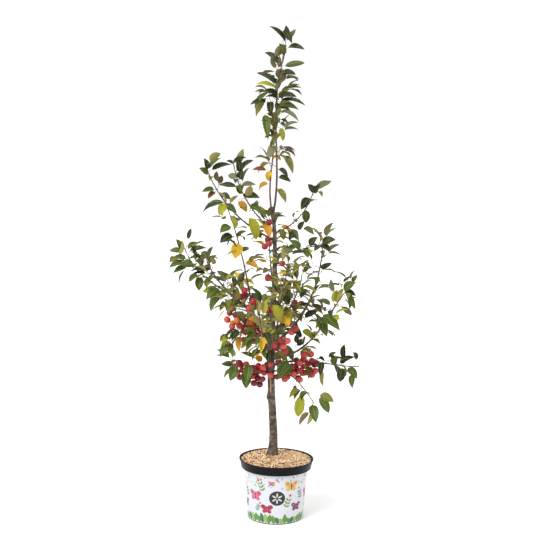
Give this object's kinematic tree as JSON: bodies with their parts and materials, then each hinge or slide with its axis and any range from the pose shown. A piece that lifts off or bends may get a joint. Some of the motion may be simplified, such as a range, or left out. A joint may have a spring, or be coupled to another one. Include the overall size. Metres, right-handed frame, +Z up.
{
  "type": "potted red sentinel crabapple tree",
  "caption": "Young crabapple tree on a slim upright stem, with leafy spreading boughs and hanging red fruit, standing in a round nursery pot topped with wood chips.",
  "frame": {"origin": "middle of the pot's flat underside, on the surface that the pot stands on", "axes": "+Z up along the trunk, +X to the right-hand side of the plant as pictured, +Y away from the viewer"},
  "size_m": [0.7295, 0.6635, 1.8222],
  "materials": {
    "pot_black": "satin",
    "pot_print": "gloss",
    "compost": "matte",
    "wood_chips": "matte",
    "bark": "matte",
    "foliage": "satin",
    "fruit": "gloss"
  },
  "bodies": {
    "root": {"pot_wall": "pot_black", "pot_sleeve": "pot_print", "compost": "compost", "wood_chips": "wood_chips", "trunk": "bark", "bough_back_high": "bark", "bough_back_left": "bark", "bough_back_low": "bark", "bough_back_right": "bark", "bough_front_high": "bark", "bough_front_left": "bark", "bough_front_low": "bark", "bough_left_far": "bark", "bough_left_high": "bark", "bough_left_inner": "bark", "bough_left_low": "bark", "bough_left_main": "bark", "bough_left_upright": "bark", "bough_right_drooping": "bark", "bough_right_far": "bark", "bough_right_high": "bark", "bough_right_low": "bark", "bough_right_low_outer": "bark", "bough_right_main": "bark", "bough_right_mid": "bark", "leader_main": "bark", "leader_side": "bark", "foliage_back_high": "foliage", "foliage_back_left": "foliage", "foliage_back_low": "foliage", "foliage_back_right": "foliage", "foliage_fork_left": "foliage", "foliage_fork_right": "foliage", "foliage_front_high": "foliage", "foliage_front_left": "foliage", "foliage_front_low": "foliage", "foliage_left_far": "foliage", "foliage_left_fruit": "foliage", "foliage_left_high": "foliage", "foliage_left_inner": "foliage", "foliage_left_low": "foliage", "foliage_left_main": "foliage", "foliage_left_tip": "foliage", "foliage_left_upright": "foliage", "foliage_right_drooping": "foliage", "foliage_right_far": "foliage", "foliage_right_high": "foliage", "foliage_right_low": "foliage", "foliage_right_low_tip": "foliage", "foliage_right_main": "foliage", "foliage_right_mid": "foliage", "foliage_right_shoot": "foliage", "foliage_side_left": "foliage", "foliage_tip_back": "foliage", "foliage_tip_front": "foliage", "foliage_tip_left": "foliage", "foliage_tip_right": "foliage", "foliage_top": "foliage"}
  },
  "joints": []
}
